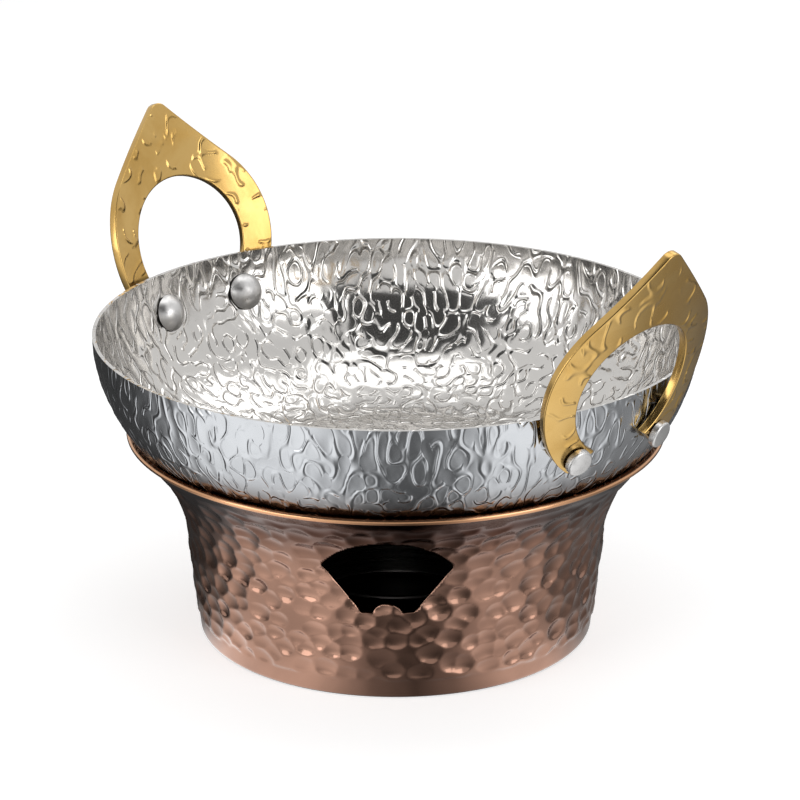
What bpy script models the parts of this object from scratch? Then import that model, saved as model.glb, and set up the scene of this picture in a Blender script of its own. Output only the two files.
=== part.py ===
"""Two-handled serving pan on a hammered table stove, with a fuel cup inside. Blender 4.5, metres, +Z up.

The origin is the middle of the underside. The stove's window faces -Y.
"""

import math

import bmesh
import bpy
from mathutils import Matrix, Vector

# Clearances
SEAT_GAP = 0.0003  # between two pieces that rest on each other
HOLE_GAP = 0.0002  # between a rivet's shank and its hole

# Pan
PAN_RIM_RADIUS = 0.110
PAN_DEPTH = 0.0568  # outside, from the rim down to the underside
PAN_WALL_SPREAD = 0.0480  # from the edge of the flat floor out to the rim
PAN_ARC_ABOVE_RIM = 0.002  # height over the rim of the centre of the wall's arc
PAN_SEAT_RISE = 0.0200  # from the underside up to where the wall sits in the stove's lip
PAN_SHEET = 0.0013

# Stove shell, whose lip is sized by the pan that sits in it
SHELL_HEIGHT = 0.0780
SHELL_SHEET = 0.0008
SHELL_OVERHANG = 0.0224  # from the waist out to the edge of the lip
SHELL_FLARE_RISE = 0.0446  # from the waist up to the top of the lip
SHELL_TAPER = 0.0036  # from the waist in to the base
SHELL_BASE_BEND = 0.0018
SHELL_FOOT_WIDTH = 0.0050
LIP_WIDTH = 0.0024
LIP_BEAD = 0.0010

# Window in the shell
WINDOW_TOP_DROP = 0.0131  # below the top of the shell
WINDOW_RISE = 0.0304
WINDOW_ARCH_RISE = 0.0121
WINDOW_HALF_WIDTH = 0.0236
WINDOW_SILL_HALF_WIDTH = 0.0094
WINDOW_HUMP_HALF_WIDTH = 0.0052
WINDOW_HUMP_RISE = 0.0034
WINDOW_CORNER_RADIUS = 0.0020
WINDOW_LOBE_RADIUS = 0.0014
WINDOW_NOTCH_RADIUS = 0.0005

# Base plate
PLATE_SHEET = 0.0008
PLATE_RIM_HEIGHT = 0.0050
PLATE_RING_HEIGHT = 0.0022
PLATE_RING_WIDTH = 0.0040
PLATE_RING_BEND = 0.0012

# Fuel cup
CUP_RADIUS = 0.0385
CUP_HEIGHT = 0.0227
CUP_SHEET = 0.0008
CUP_TAPER = 0.0012
CUP_BEAD = 0.0012
CUP_FOOT_BEND = 0.0030

# Handles: flat plates bent to follow the pan, leaning outwards
HANDLE_AZIMUTHS = {"right": math.radians(-43.9), "left": math.radians(136.1)}
HANDLE_LEAN = math.radians(17.56)
HANDLE_BEND = 0.128
HANDLE_THICKNESS = 0.0038
HANDLE_OUTER_RADIUS = 0.0383
HANDLE_HOLE_RADIUS = 0.0255
HANDLE_HOLE_DROP = 0.0018
HANDLE_APEX_ANGLE = math.radians(89.5)
HANDLE_TIP_RADIUS = 0.0045
HANDLE_OUTER_REACH = math.radians(146.2)  # from the tip round to the foot, outside
HANDLE_INNER_REACH = math.radians(151.2)  # the same, along the hole
HANDLE_SEAT_GAP = 0.00025
HANDLE_EDGE_BEVEL = 0.0004

# Rivets
RIVET_ANGLE = math.radians(143.0)  # round the ring, from the tip
RIVET_SHANK_RADIUS = 0.0024
RIVET_DOME_RADIUS = 0.0070
RIVET_DOME_HEIGHT = 0.0038
RIVET_DOME_GAP = 0.00105  # under the middle of the dome, whose edge then clears the hollow wall
RIVET_DISC_RADIUS = 0.0049
RIVET_DISC_HEIGHT = 0.0024
RIVET_DISC_ROUND = 0.0007

# Steps round a full turn
LARGE_STEPS = 72
CUP_STEPS = 48
RIVET_STEPS = 24
HANDLE_STEPS = 64


def clear_scene():
    for obj in list(bpy.data.objects):
        bpy.data.objects.remove(obj)


def material(name, colour, roughness, metallic):
    made = bpy.data.materials.new(name)
    made.use_nodes = True
    shader = made.node_tree.nodes["Principled BSDF"]
    shader.inputs["Base Color"].default_value = (*colour, 1.0)
    shader.inputs["Roughness"].default_value = roughness
    shader.inputs["Metallic"].default_value = metallic
    return made


def add_object(name, bm, surface):
    bmesh.ops.recalc_face_normals(bm, faces=bm.faces)
    if bm.calc_volume(signed=True) < 0:
        bmesh.ops.reverse_faces(bm, faces=bm.faces)
    mesh = bpy.data.meshes.new(name)
    bm.to_mesh(mesh)
    bm.free()
    mesh.shade_smooth()
    mesh.set_sharp_from_angle(angle=math.radians(35))
    obj = bpy.data.objects.new(name, mesh)
    bpy.context.scene.collection.objects.link(obj)
    if surface:
        mesh.materials.append(surface)
    return obj


def add_cutter(name, bm, target):
    cutter = add_object(name, bm, None)
    cutter.hide_render = True
    cutter.display_type = "WIRE"
    cut = target.modifiers.new(name, "BOOLEAN")
    cut.operation = "DIFFERENCE"
    cut.object = cutter
    return cutter


def arc(centre, radius, start, end, segments):
    """Points on an arc, from the start angle to the end angle, in radians."""
    points = []
    for i in range(segments + 1):
        angle = start + (end - start) * i / segments
        points.append(centre + radius * Vector((math.cos(angle), math.sin(angle))))
    return points


def fillet(before, corner, after, radius, segments):
    """Points that round the corner of a path with an arc."""
    back = (before - corner).normalized()
    ahead = (after - corner).normalized()
    half = back.angle(ahead) / 2
    centre = corner + (back + ahead).normalized() * radius / math.sin(half)
    start = corner + back * radius / math.tan(half) - centre
    turn = start.angle_signed(corner + ahead * radius / math.tan(half) - centre)
    return [centre + Matrix.Rotation(-turn * i / segments, 2) @ start for i in range(segments + 1)]


def sheet_section(path, thickness):
    """Outline of a sheet of this thickness that has its middle on the path."""
    left = []
    right = []
    for i, point in enumerate(path):
        before = (point - path[i - 1]).normalized() if i else None
        after = (path[i + 1] - point).normalized() if i + 1 < len(path) else None
        along = ((before or after) + (after or before)).normalized()
        stretch = thickness / 2 / along.dot(after or before)
        side = Vector((-along.y, along.x)) * stretch
        left.append(point + side)
        right.append(point - side)
    return right + left[::-1]


def turned(section, steps):
    """A solid turned about Z from a section of (radius, height) points.

    A section that starts and ends on the axis stays open there.
    """
    bm = bmesh.new()
    verts = [bm.verts.new((max(point.x, 0.0), 0.0, point.y)) for point in section]
    on_axis = section[0].x < 1e-6 and section[-1].x < 1e-6
    for i in range(len(verts) - 1):
        bm.edges.new((verts[i], verts[i + 1]))
    if not on_axis:
        bm.edges.new((verts[-1], verts[0]))
    bmesh.ops.spin(
        bm,
        geom=bm.verts[:] + bm.edges[:],
        cent=(0, 0, 0),
        axis=(0, 0, 1),
        angle=math.tau,
        steps=steps,
        use_merge=True,
    )
    bmesh.ops.remove_doubles(bm, verts=bm.verts, dist=1e-6)
    return bm


# The pan's place and the arc of its wall, which meets the rim and the floor's edge
PAN_RIM_HEIGHT = SHELL_HEIGHT - PAN_SEAT_RISE + PAN_DEPTH
PAN_ARC_HEIGHT = PAN_RIM_HEIGHT + PAN_ARC_ABOVE_RIM
PAN_ARC_DEPTH = PAN_DEPTH + PAN_ARC_ABOVE_RIM
PAN_ARC_INSET = (
    PAN_WALL_SPREAD / 2 + (PAN_ARC_DEPTH**2 - PAN_ARC_ABOVE_RIM**2) / 2 / PAN_WALL_SPREAD
)
PAN_ARC_RADIUS = PAN_RIM_RADIUS - PAN_ARC_INSET
PAN_WALL_ARC = math.hypot(PAN_ARC_INSET, PAN_ARC_ABOVE_RIM)


def pan_wall_radius(height):
    """Radius of the pan's outer face at this height."""
    return PAN_ARC_RADIUS + math.sqrt(PAN_WALL_ARC**2 - (PAN_ARC_HEIGHT - height) ** 2)


# The shell's lip stands just clear of the pan's wall, and the body follows the lip
LIP_INNER_RADIUS = pan_wall_radius(SHELL_HEIGHT) + SEAT_GAP * PAN_WALL_ARC / (
    pan_wall_radius(SHELL_HEIGHT) - PAN_ARC_RADIUS
)
LIP_RADIUS = LIP_INNER_RADIUS + LIP_WIDTH
SHELL_WAIST_RADIUS = LIP_RADIUS - SHELL_OVERHANG
SHELL_WAIST_HEIGHT = SHELL_HEIGHT - SHELL_FLARE_RISE
SHELL_BASE_RADIUS = SHELL_WAIST_RADIUS - SHELL_TAPER


def shell_radius(height):
    """Radius of the shell's outer face at this height, below its waist."""
    return SHELL_BASE_RADIUS + SHELL_TAPER * height / SHELL_WAIST_HEIGHT


def shell_path():
    """Middle of the shell's sheet, from the edge of its foot to the inner edge of its lip."""
    foot = Vector((SHELL_BASE_RADIUS - SHELL_BASE_BEND - SHELL_FOOT_WIDTH, SHELL_SHEET / 2))
    corner = Vector((SHELL_BASE_RADIUS - SHELL_SHEET / 2, SHELL_SHEET / 2))
    waist = Vector((SHELL_WAIST_RADIUS - SHELL_SHEET / 2, SHELL_WAIST_HEIGHT))
    bead = LIP_BEAD - SHELL_SHEET / 2
    bead_centre = Vector((LIP_RADIUS - LIP_BEAD, SHELL_HEIGHT - LIP_BEAD))
    # The flare starts upright at the waist and runs into the bead with the same slope.
    out = bead_centre.x - waist.x
    rise = bead_centre.y - waist.y
    reach = (rise**2 + out**2 - bead**2) / 2 / (out + bead)
    slope = math.atan2(rise, reach - out)
    flare = arc(waist + Vector((reach, 0)), reach, math.pi, math.pi - slope, 8)
    lip = arc(bead_centre, bead, -slope, math.pi / 2, 5)
    lip_edge = Vector((LIP_INNER_RADIUS, lip[-1].y))
    bend = SHELL_BASE_BEND - SHELL_SHEET / 2
    return [foot, *fillet(foot, corner, waist, bend, 3), *flare, *lip[1:], lip_edge]


def window_outline():
    """The fan-shaped window as seen from the front, as (x, z) points, anticlockwise."""
    top = SHELL_HEIGHT - WINDOW_TOP_DROP
    low = top - WINDOW_RISE
    top_arc = (WINDOW_HALF_WIDTH**2 + WINDOW_ARCH_RISE**2) / (2 * WINDOW_ARCH_RISE)
    top_centre = Vector((0, top - top_arc))
    half = math.asin(WINDOW_HALF_WIDTH / top_arc)
    arch = arc(top_centre, top_arc, math.pi / 2 - half, math.pi / 2, 8)
    sill = Vector((WINDOW_SILL_HALF_WIDTH, low))
    notch = Vector((WINDOW_HUMP_HALF_WIDTH, low))
    hump_arc = (WINDOW_HUMP_HALF_WIDTH**2 + WINDOW_HUMP_RISE**2) / (2 * WINDOW_HUMP_RISE)
    hump_centre = Vector((0, low + WINDOW_HUMP_RISE - hump_arc))
    hump_half = math.asin(WINDOW_HUMP_HALF_WIDTH / hump_arc)
    hump = arc(hump_centre, hump_arc, math.pi / 2, math.pi / 2 - hump_half, 6)
    right = hump[:-1]
    right += fillet(hump[-2], notch, sill, WINDOW_NOTCH_RADIUS, 2)
    right += fillet(notch, sill, arch[0], WINDOW_LOBE_RADIUS, 4)
    right += fillet(sill, arch[0], arch[1], WINDOW_CORNER_RADIUS, 4)
    right += arch[2:]
    left = [Vector((-point.x, point.y)) for point in right[-2:0:-1]]
    return right + left


def build_shell():
    section = sheet_section(shell_path(), SHELL_SHEET)
    copper = material("hammered copper", (0.42, 0.20, 0.13), 0.25, 1.0)
    shell = add_object("stove_shell", turned(section, LARGE_STEPS), copper)
    bm = bmesh.new()
    outline = window_outline()
    front = SHELL_BASE_RADIUS + 0.03
    face = bm.faces.new([bm.verts.new((point.x, -front, point.y)) for point in outline])
    pushed = bmesh.ops.extrude_face_region(bm, geom=[face])
    moved = [item for item in pushed["geom"] if isinstance(item, bmesh.types.BMVert)]
    bmesh.ops.translate(bm, verts=moved, vec=(0, front - SHELL_BASE_RADIUS / 2, 0))
    add_cutter("window_cutter", bm, shell)


def cup_wall_radius():
    """Radius of the middle of the cup's sheet just under its bead."""
    return CUP_RADIUS - 2 * CUP_BEAD + CUP_SHEET / 2


def build_base_plate():
    """A pressed plate that lies on the shell's foot; its raised ring keeps the fuel cup in place."""
    low = SHELL_SHEET + SEAT_GAP + PLATE_SHEET / 2
    rim_low = shell_radius(low) - SHELL_SHEET - SEAT_GAP * 1.2 - PLATE_SHEET / 2
    rim_top = shell_radius(PLATE_RIM_HEIGHT) - SHELL_SHEET - SEAT_GAP * 1.2 - PLATE_SHEET / 2
    ring_in = cup_wall_radius() - CUP_TAPER + CUP_SHEET / 2 + SEAT_GAP + PLATE_SHEET / 2
    ring_mid = ring_in + PLATE_RING_WIDTH / 2
    ring_out = ring_in + PLATE_RING_WIDTH
    centre = Vector((0, low))
    ring_start = Vector((ring_in, low))
    ring_top = Vector((ring_mid, low + PLATE_RING_HEIGHT))
    ring_end = Vector((ring_out, low))
    corner = Vector((rim_low, low))
    rim = Vector((rim_top, PLATE_RIM_HEIGHT))
    path = [centre]
    path += fillet(centre, ring_start, ring_top, PLATE_RING_BEND, 1)
    path += fillet(ring_start, ring_top, ring_end, PLATE_RING_BEND, 2)
    path += fillet(ring_top, ring_end, corner, PLATE_RING_BEND, 1)
    path += fillet(ring_end, corner, rim, SHELL_BASE_BEND, 2)
    path += [rim]
    iron = material("dark sheet", (0.10, 0.07, 0.06), 0.5, 1.0)
    add_object("base_plate", turned(sheet_section(path, PLATE_SHEET), LARGE_STEPS), iron)


def build_fuel_cup():
    low = SHELL_SHEET + PLATE_SHEET + 2 * SEAT_GAP + CUP_SHEET / 2
    top = low - CUP_SHEET / 2 + CUP_HEIGHT
    wall_top = cup_wall_radius()
    centre = Vector((0, low))
    corner = Vector((wall_top - CUP_TAPER, low))
    neck = Vector((wall_top, top - CUP_BEAD))
    bead_centre = Vector((wall_top + CUP_BEAD - CUP_SHEET / 2, top - CUP_BEAD))
    bead = arc(bead_centre, CUP_BEAD - CUP_SHEET / 2, math.pi, 0, 6)
    path = [centre, *fillet(centre, corner, neck, CUP_FOOT_BEND, 4), *bead]
    steel = material("cup steel", (0.45, 0.44, 0.43), 0.35, 1.0)
    add_object("fuel_cup", turned(sheet_section(path, CUP_SHEET), CUP_STEPS), steel)


def build_pan():
    """The bowl, with its rivet holes still to be cut."""
    floor = PAN_RIM_HEIGHT - PAN_DEPTH + PAN_SHEET / 2
    centre = Vector((PAN_ARC_RADIUS, PAN_ARC_HEIGHT))
    radius = PAN_WALL_ARC - PAN_SHEET / 2
    start = -math.asin((PAN_ARC_HEIGHT - floor) / radius)
    end = -math.asin(PAN_ARC_ABOVE_RIM / radius)
    path = [Vector((0, floor)), *arc(centre, radius, start, end, 12)]
    steel = material("embossed steel", (0.62, 0.61, 0.60), 0.22, 1.0)
    section = sheet_section(path, PAN_SHEET)
    for point in (section[len(path) - 1], section[len(path)]):
        point.y = PAN_RIM_HEIGHT
    return add_object("pan_bowl", turned(section, LARGE_STEPS), steel)


def handle_outline_radius(angle):
    """Distance from the ring's centre to the plate's outer edge, at this angle from the tip."""
    shoulder = (math.pi - HANDLE_APEX_ANGLE) / 2
    tip_centre = (HANDLE_OUTER_RADIUS - HANDLE_TIP_RADIUS) / math.cos(shoulder)
    tip_end = HANDLE_TIP_RADIUS * Vector((math.sin(shoulder), math.cos(shoulder)))
    angle = abs(angle)
    if angle < math.atan2(tip_end.x, tip_centre + tip_end.y):
        across = tip_centre * math.sin(angle)
        return tip_centre * math.cos(angle) + math.sqrt(HANDLE_TIP_RADIUS**2 - across**2)
    if angle < shoulder:
        return HANDLE_OUTER_RADIUS / math.cos(angle - shoulder)
    return HANDLE_OUTER_RADIUS


def rivet_spot():
    """Middle of the handle's foot, where its rivet goes, as (across, up) from the ring's centre."""
    down = math.pi - RIVET_ANGLE
    inner = HANDLE_HOLE_DROP * math.cos(down) + math.sqrt(
        HANDLE_HOLE_RADIUS**2 - (HANDLE_HOLE_DROP * math.sin(down)) ** 2
    )
    middle = (inner + HANDLE_OUTER_RADIUS) / 2
    return Vector((middle * math.sin(down), -middle * math.cos(down)))


def handle_place(azimuth, point, depth):
    """World position of a point on the bent plate, and the plate's outward direction there.

    The point is (across, up) from the ring's centre, and depth is counted from the inner face.
    """
    radial = Vector((math.cos(azimuth), math.sin(azimuth), 0))
    across = Vector((-math.sin(azimuth), math.cos(azimuth), 0))
    up = Vector((0, 0, math.cos(HANDLE_LEAN))) + radial * math.sin(HANDLE_LEAN)
    out = across.cross(up)
    seat = radial * (PAN_ARC_RADIUS + PAN_WALL_ARC * math.cos(HANDLE_LEAN))
    seat.z = PAN_ARC_HEIGHT - PAN_WALL_ARC * math.sin(HANDLE_LEAN)
    centre = seat + out * HANDLE_SEAT_GAP - up * rivet_spot().y
    turn = point.x / HANDLE_BEND
    normal = across * math.sin(turn) + out * math.cos(turn)
    place = centre + up * point.y - out * HANDLE_BEND + normal * (HANDLE_BEND + depth)
    return place, normal, up


def build_handle(side, azimuth):
    hole_centre = Vector((0, -HANDLE_HOLE_DROP))
    bm = bmesh.new()
    rows = []
    for i in range(HANDLE_STEPS + 1):
        share = 2 * i / HANDLE_STEPS - 1
        # Steps crowd towards the tip, which is the sharpest bend of the outline.
        share = 0.35 * share + 0.65 * share * abs(share)
        outer = HANDLE_OUTER_REACH * share
        inner = HANDLE_INNER_REACH * share
        outside = handle_outline_radius(outer) * Vector((math.sin(outer), math.cos(outer)))
        inside = hole_centre + HANDLE_HOLE_RADIUS * Vector((math.sin(inner), math.cos(inner)))
        rows.append([bm.verts.new((point.x, point.y, 0)) for point in (inside, outside)])
    for one, two in zip(rows, rows[1:]):
        bm.faces.new((one[0], one[1], two[1], two[0]))
    pushed = bmesh.ops.extrude_face_region(bm, geom=bm.faces[:])
    moved = [item for item in pushed["geom"] if isinstance(item, bmesh.types.BMVert)]
    bmesh.ops.translate(bm, verts=moved, vec=(0, 0, HANDLE_THICKNESS))
    for vert in bm.verts:
        vert.co = handle_place(azimuth, vert.co.xy, vert.co.z)[0]
    brass = material(f"{side} handle brass", (0.80, 0.56, 0.27), 0.25, 1.0)
    handle = add_object(f"handle_{side}", bm, brass)
    bevel = handle.modifiers.new("edges", "BEVEL")
    bevel.width = HANDLE_EDGE_BEVEL
    bevel.segments = 1
    bevel.limit_method = "ANGLE"
    bevel.angle_limit = math.radians(50)
    return handle


def rivet_wall_gap():
    """Gap between the pan's wall and the plate's inner face at a rivet."""
    wall_bend = PAN_WALL_ARC + PAN_ARC_RADIUS / math.cos(HANDLE_LEAN)
    return HANDLE_SEAT_GAP + rivet_spot().x ** 2 / 2 * (1 / wall_bend - 1 / HANDLE_BEND)


def rivet_section():
    """Half outline of a rivet along its axis, zero at the plate's inner face, dome below."""
    base = -rivet_wall_gap() - PAN_SHEET - RIVET_DOME_GAP
    dome_arc = (RIVET_DOME_RADIUS**2 + RIVET_DOME_HEIGHT**2) / (2 * RIVET_DOME_HEIGHT)
    half = math.asin(RIVET_DOME_RADIUS / dome_arc)
    dome_centre = Vector((0, base - RIVET_DOME_HEIGHT + dome_arc))
    dome = arc(dome_centre, dome_arc, -math.pi / 2, -math.pi / 2 + half, 6)
    seat = HANDLE_THICKNESS + SEAT_GAP
    top = seat + RIVET_DISC_HEIGHT
    head_low = Vector((RIVET_DISC_RADIUS, seat))
    head_corner = Vector((RIVET_DISC_RADIUS, top))
    middle = Vector((0, top))
    section = dome
    section += [Vector((RIVET_SHANK_RADIUS, base)), Vector((RIVET_SHANK_RADIUS, seat)), head_low]
    section += fillet(head_low, head_corner, middle, RIVET_DISC_ROUND, 3)
    section += [middle]
    return section


def rivet_frame(azimuth, side):
    spot = rivet_spot()
    place, normal, up = handle_place(azimuth, Vector((side * spot.x, spot.y)), 0.0)
    across = up.cross(normal)
    return Matrix.Translation(place) @ Matrix((across, up, normal)).transposed().to_4x4()


def build_rivets(name, azimuth, handle, pan):
    steel = material(f"{name} rivet steel", (0.72, 0.70, 0.66), 0.3, 1.0)
    for end, side in (("a", -1), ("b", 1)):
        frame = rivet_frame(azimuth, side)
        bm = turned(rivet_section(), RIVET_STEPS)
        bm.transform(frame)
        add_object(f"rivet_{name}_{end}", bm, steel)
        for target in (handle, pan):
            hole = bmesh.new()
            radius = RIVET_SHANK_RADIUS + HOLE_GAP
            reach = 4 * HANDLE_THICKNESS
            bmesh.ops.create_cone(
                hole, cap_ends=True, segments=RIVET_STEPS, radius1=radius, radius2=radius, depth=reach
            )
            hole.transform(frame)
            add_cutter(f"{target.name}_hole_{name}_{end}", hole, target)


def main():
    clear_scene()
    build_shell()
    build_base_plate()
    build_fuel_cup()
    pan = build_pan()
    for side, azimuth in HANDLE_AZIMUTHS.items():
        handle = build_handle(side, azimuth)
        build_rivets(side, azimuth, handle, pan)


main()
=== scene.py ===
import math
import random

import bmesh
import bpy
import numpy as np
from bpy.props import FloatProperty, FloatVectorProperty, IntProperty, PointerProperty
from mathutils import Euler, Matrix, Vector
from mathutils.kdtree import KDTree


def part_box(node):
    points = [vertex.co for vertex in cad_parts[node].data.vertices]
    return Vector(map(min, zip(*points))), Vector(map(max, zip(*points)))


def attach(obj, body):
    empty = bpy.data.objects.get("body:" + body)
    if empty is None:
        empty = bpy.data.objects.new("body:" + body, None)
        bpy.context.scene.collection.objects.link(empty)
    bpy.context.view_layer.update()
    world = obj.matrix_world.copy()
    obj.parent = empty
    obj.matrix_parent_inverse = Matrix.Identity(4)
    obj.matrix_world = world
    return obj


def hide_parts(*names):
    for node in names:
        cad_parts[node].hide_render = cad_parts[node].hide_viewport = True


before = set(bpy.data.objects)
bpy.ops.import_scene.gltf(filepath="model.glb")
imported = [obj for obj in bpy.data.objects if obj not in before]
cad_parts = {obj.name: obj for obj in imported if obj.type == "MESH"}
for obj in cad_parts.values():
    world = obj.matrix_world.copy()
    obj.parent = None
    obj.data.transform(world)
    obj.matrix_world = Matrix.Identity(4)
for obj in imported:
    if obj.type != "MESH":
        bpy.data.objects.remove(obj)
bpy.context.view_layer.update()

bl_info = {
    "name": "Serving pan on a table stove",
    "version": (1, 0, 0),
    "blender": (4, 5, 0),
    "location": "3D View > Sidebar > Table stove",
    "description": "Builds an embossed two-handled pan on a hammered table stove",
    "category": "Add Mesh",
}

PAN_LOW, PAN_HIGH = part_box("pan_bowl")
SHELL_LOW, SHELL_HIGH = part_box("stove_shell")
CUP_LOW, CUP_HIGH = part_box("fuel_cup")
SEAT_GAP = 0.0003  # between two pieces that rest on each other


# Settings


def length(name, description, default):
    return FloatProperty(
        name=name, description=description, default=default, unit="LENGTH", precision=5
    )


def angle(name, description, degrees):
    return FloatProperty(
        name=name, description=description, default=math.radians(degrees), subtype="ANGLE"
    )


def colour(name, description, default):
    return FloatVectorProperty(
        name=name, description=description, default=default, subtype="COLOR", min=0, max=1
    )


def share(name, description, default):
    return FloatProperty(
        name=name, description=description, default=default, subtype="FACTOR", min=0, max=1
    )


def count(name, description, default):
    return IntProperty(name=name, description=description, default=default, min=3)


class PanSettings(bpy.types.PropertyGroup):
    rim_radius: length("Rim radius", "Outer radius of the rim", PAN_HIGH.x)
    rim_height: length("Rim height", "Height of the rim over the table", PAN_HIGH.z)
    depth: length("Depth", "From the rim down to the underside", PAN_HIGH.z - PAN_LOW.z)
    wall_spread: length("Wall spread", "From the edge of the floor out to the rim", 0.0480)
    arc_above_rim: length("Arc over rim", "Height over the rim of the centre of the wall's arc", 0.002)
    sheet: length("Sheet", "Thickness of the pan's sheet", 0.0013)
    steps: count("Steps", "Steps round the pan", 544)
    ridge_spacing: length("Ridge spacing", "Wave length of the embossed pattern", 0.0064)
    ridge_height: length("Ridge height", "Height of the embossed ridges", 0.00040)
    ridge_stretch: share("Ridge stretch", "How much the drawn wall stretches the ridges upwards", 0.52)
    # painted reflection and shade: inside and outside are one steel, painted warmer inside and darker
    # and bluer outside
    steel: colour("Steel", "Colour of the polished steel inside", (0.56, 0.545, 0.525))
    shaded_outer_steel: colour("Cool steel", "Colour of the polished steel outside", (0.44, 0.453, 0.471))
    roughness: share("Roughness", "Roughness of the polished steel", 0.16)


class StoveSettings(bpy.types.PropertyGroup):
    height: length("Height", "Height of the lip over the table", SHELL_HIGH.z)
    lip_radius: length("Lip radius", "Outer radius of the lip", SHELL_HIGH.x)
    sheet: length("Sheet", "Thickness of the shell's sheet", 0.0008)
    overhang: length("Overhang", "From the waist out to the edge of the lip", 0.0224)
    flare_rise: length("Flare rise", "From the waist up to the top of the lip", 0.0446)
    taper: length("Taper", "From the waist in to the base", 0.0036)
    base_bend: length("Base bend", "Radius of the bend at the foot", 0.0018)
    foot_width: length("Foot width", "Width of the turned-in foot", 0.0050)
    lip_width: length("Lip width", "Width of the flat lip", 0.0024)
    lip_bead: length("Lip bead", "Radius of the bead at the lip's edge", 0.0010)
    steps: count("Steps", "Steps round the shell", 576)
    window_top_drop: length("Window drop", "From the lip down to the window's top", 0.0131)
    window_rise: length("Window rise", "Height of the window", 0.0304)
    window_arch_rise: length("Arch rise", "Rise of the arch over the window's corners", 0.0121)
    window_half_width: length("Window half width", "Half the width at the corners", 0.0236)
    sill_half_width: length("Sill half width", "Half the width at the bottom", 0.0094)
    hump_half_width: length("Hump half width", "Half the width of the sill's hump", 0.0052)
    hump_rise: length("Hump rise", "Height of the sill's hump", 0.0034)
    window_corner: length("Corner round", "Radius of the window's upper corners", 0.0020)
    window_lobe: length("Lobe round", "Radius of the sill's outer corners", 0.0014)
    window_notch: length("Notch round", "Radius beside the sill's hump", 0.0005)
    dent_width: length("Dent width", "Width of a hammer mark", 0.0090)
    dent_height: length("Dent height", "Height of a hammer mark", 0.0070)
    dent_depth: length("Dent depth", "Depth of a hammer mark", 0.0013)
    band_low: length("Lower band", "Height of the smooth band at the foot", 0.0072)
    band_high: length("Upper band", "Height of the smooth band under the lip", 0.0075)
    copper: colour("Copper", "Colour of the copper coat", (0.322, 0.183, 0.133))
    # painted highlight: the bead at the lip's edge gets this brighter copper where it catches the
    # light
    bead_highlight_copper: colour("Bare copper", "Colour where the coat is polished thin", (0.527, 0.285, 0.155))
    # painted shade: this dark tint is painted on the flare under the lip and on the lip's top under
    # the pan; on the lip's top it is partly real heat darkening
    burnt_and_shade_tint: colour("Burnt copper", "Colour of the heated top of the lip", (0.062, 0.028, 0.019))
    # painted shade: the inside of the shell is painted near black for the shade in the closed stove
    inside: colour("Inside", "Colour of the dark inside", (0.056, 0.043, 0.037))
    # depths under the lip between which the painted shade under the overhanging lip fades in
    shade_start_depth: length("Heat low", "Depth under the lip where the heat's tint begins", 0.031)
    shade_full_depth: length("Heat high", "Depth under the lip where the heat's tint is full", 0.008)
    roughness: share("Roughness", "Roughness of the copper coat", 0.17)


class BurnerSettings(bpy.types.PropertyGroup):
    plate_sheet: length("Plate sheet", "Thickness of the base plate", 0.0008)
    plate_rim: length("Plate rim", "Height of the base plate's rim", 0.0050)
    ring_rise: length("Ring rise", "Height of the ring round the cup", 0.0022)
    ring_width: length("Ring width", "Width of the ring round the cup", 0.0040)
    ring_bend: length("Ring bend", "Radius of the ring's bends", 0.0012)
    cup_radius: length("Cup radius", "Outer radius of the fuel cup", CUP_HIGH.x)
    cup_height: length("Cup height", "Height of the fuel cup", CUP_HIGH.z - CUP_LOW.z)
    cup_sheet: length("Cup sheet", "Thickness of the cup's sheet", 0.0008)
    cup_taper: length("Cup taper", "From the cup's neck in to its foot", 0.0012)
    cup_bead: length("Cup bead", "Radius of the bead at the cup's rim", 0.0012)
    cup_bend: length("Cup bend", "Radius of the bend at the cup's foot", 0.0030)
    # painted shade: the cup's steel is given a near-black colour for the shade inside the stove
    steel: colour("Steel", "Colour of the cup's steel", (0.136, 0.13, 0.124))
    # painted shade: the base plate is given a near-black tint for the shade inside the stove
    plate_shade_tint: colour("Iron", "Colour of the dark base plate", (0.062, 0.043, 0.037))


class HandleSettings(bpy.types.PropertyGroup):
    right_azimuth: angle("Right azimuth", "Where the right handle stands", -43.9)
    left_azimuth: angle("Left azimuth", "Where the left handle stands", 136.1)
    lean: angle("Lean", "How far a handle leans outwards", 17.56)
    bend: length("Bend", "Radius to which the plate is bent", 0.128)
    thickness: length("Thickness", "Thickness of the plate", 0.0038)
    outer_radius: length("Outer radius", "Radius of the plate's round sides", 0.0383)
    hole_radius: length("Hole radius", "Radius of the finger hole", 0.0255)
    hole_drop: length("Hole drop", "How far the hole sits below the round sides' centre", 0.0018)
    apex: angle("Apex", "Angle between the two shoulders", 89.5)
    tip_radius: length("Tip radius", "Radius of the rounded tip", 0.0045)
    outer_reach: angle("Outer reach", "From the tip round to the foot, outside", 146.2)
    inner_reach: angle("Inner reach", "From the tip round to the foot, along the hole", 151.2)
    seat_gap: length("Seat gap", "Gap to the pan's wall", 0.00025)
    edge_round: length("Edge round", "Radius of the worn edges", 0.0005)
    steps_along: count("Steps along", "Steps along the plate", 640)
    steps_across: count("Steps across", "Steps across the plate", 40)
    mark_spacing: length("Mark spacing", "Wave length of the embossed marks", 0.0092)
    mark_height: length("Mark height", "Height of the embossed marks", 0.00036)
    brass: colour("Brass", "Colour of the polished brass", (0.527, 0.347, 0.124))
    roughness: share("Roughness", "Roughness of the polished brass", 0.2)


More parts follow.
